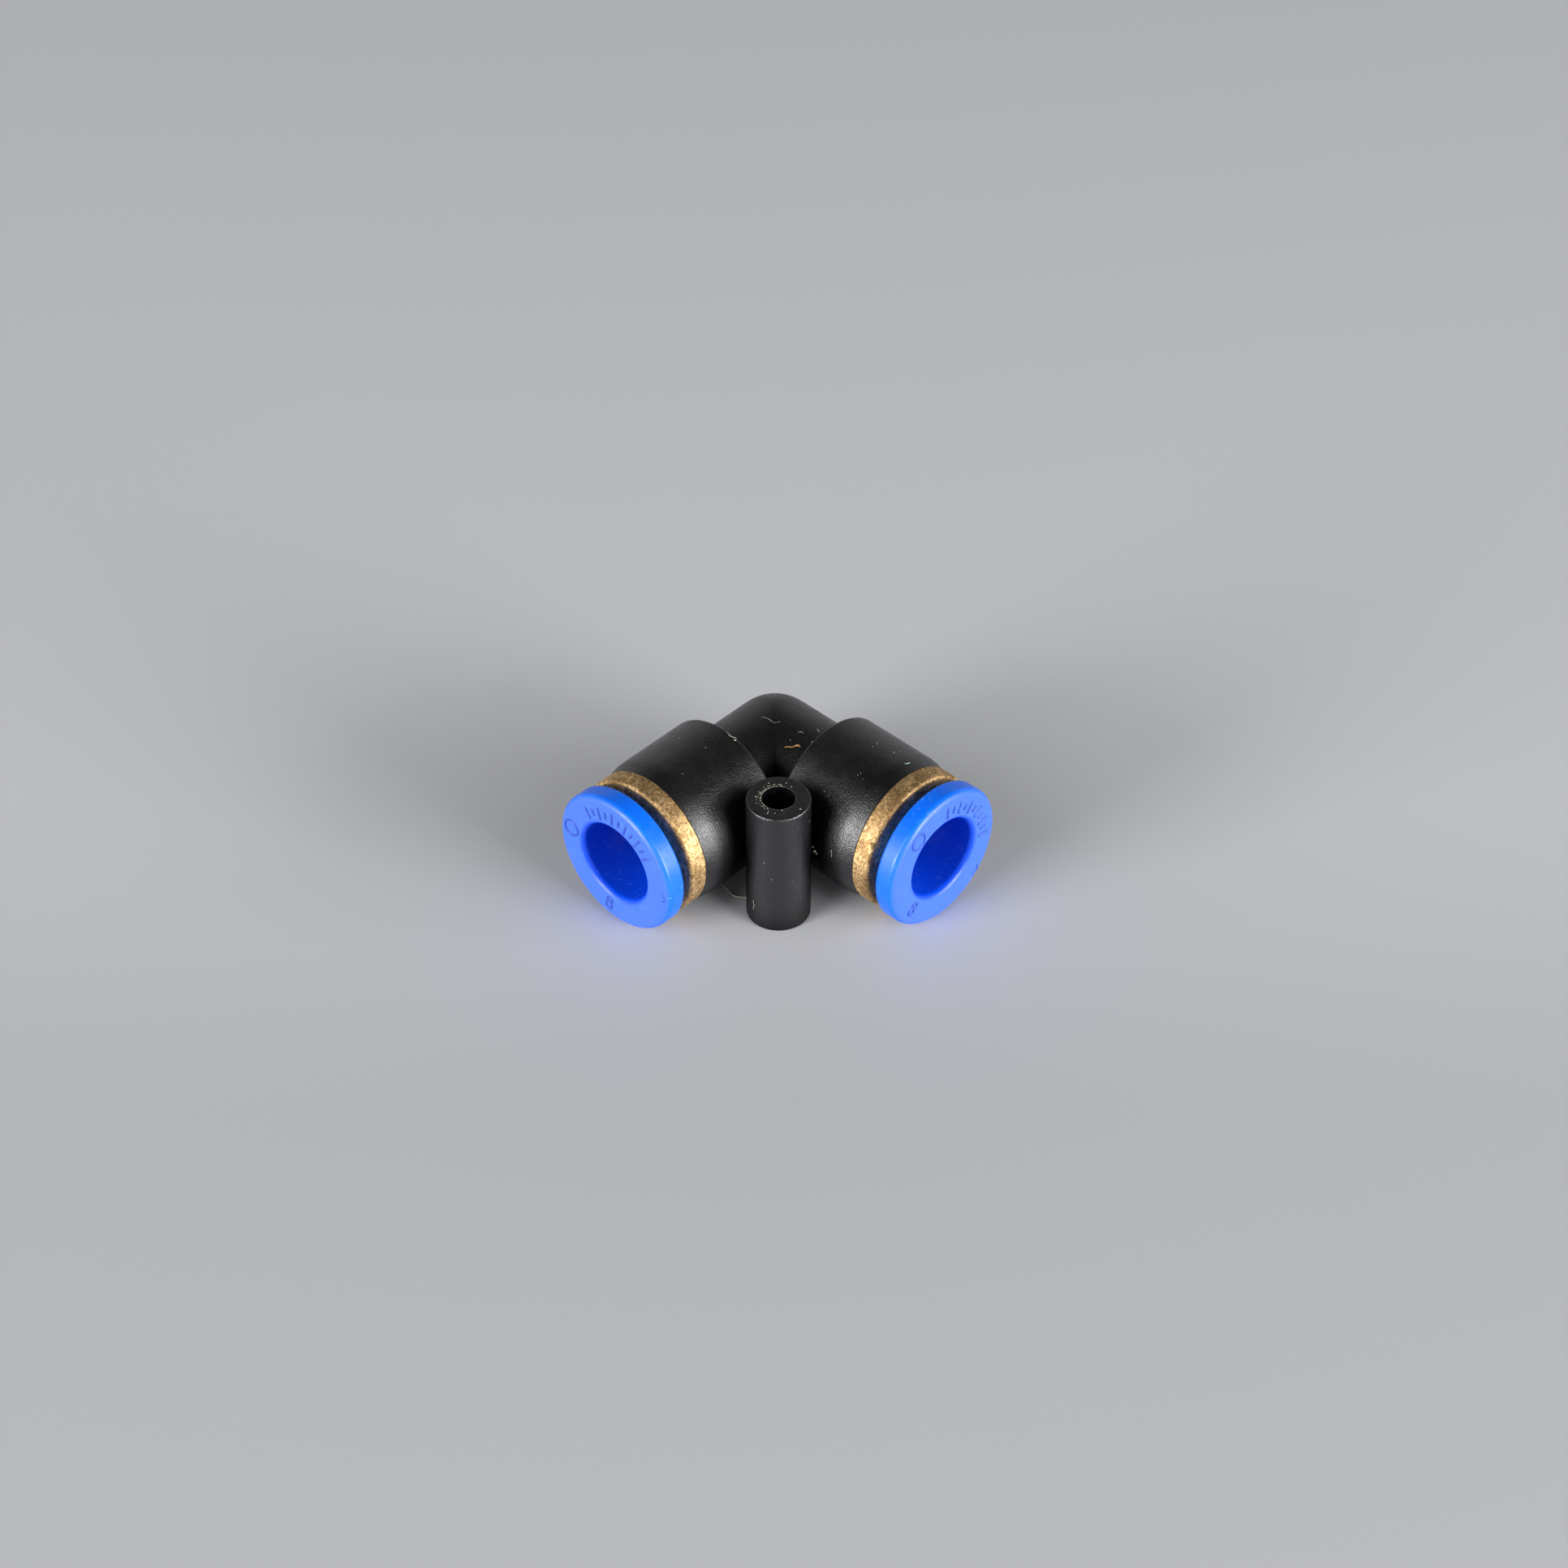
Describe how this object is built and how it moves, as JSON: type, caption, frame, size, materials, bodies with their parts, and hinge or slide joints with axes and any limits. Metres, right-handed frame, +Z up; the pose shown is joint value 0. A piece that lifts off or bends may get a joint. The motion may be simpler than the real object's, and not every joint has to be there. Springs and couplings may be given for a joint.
{
  "type": "push to connect fitting",
  "caption": "Elbow push-to-connect fitting joining round plastic tube at a right angle, with blue release sleeves, brass collars and an upright mounting boss.",
  "frame": {"origin": "axis of the mounting boss's through hole, at the plane the fitting rests on", "axes": "+Z up along the mounting hole; +X along the right port's axis, outwards; -Y along the left port's axis, outwards"},
  "size_m": [0.029, 0.029, 0.0146],
  "materials": {
    "black_pbt": "fine-grained satin moulded black",
    "blue_pom": "smooth satin moulded blue",
    "brass": "turned, lightly dulled",
    "stainless": "bright spring strip",
    "seat_resin": "natural moulded resin",
    "nbr_rubber": "matte"
  },
  "bodies": {
    "housing": {"elbow_body": "black_pbt", "left_collar": "brass", "right_collar": "brass", "left_claw_seat": "seat_resin", "right_claw_seat": "seat_resin", "left_seal": "nbr_rubber", "right_seal": "nbr_rubber"},
    "left_claw": {"left_lock_claw": "stainless"},
    "left_sleeve": {"left_release_sleeve": "blue_pom"},
    "right_claw": {"right_lock_claw": "stainless"},
    "right_sleeve": {"right_release_sleeve": "blue_pom"}
  },
  "joints": [
    {"name": "left_claw_spin", "type": "hinge", "parent": "housing", "child": "left_claw", "pos_m": [-0.01, -0.0031, 0.0073], "axis": [0, -1, 0], "continuous": true},
    {"name": "left_release", "type": "slide", "parent": "left_claw", "child": "left_sleeve", "axis": [0, 1, 0], "range_m": [0, 0.001], "stiffness_N_per_m": 400, "springref_m": -0.002},
    {"name": "right_claw_spin", "type": "hinge", "parent": "housing", "child": "right_claw", "pos_m": [0.0031, 0.01, 0.0073], "axis": [1, 0, 0], "continuous": true},
    {"name": "right_release", "type": "slide", "parent": "right_claw", "child": "right_sleeve", "axis": [-1, 0, 0], "range_m": [0, 0.001], "stiffness_N_per_m": 400, "springref_m": -0.002}
  ]
}
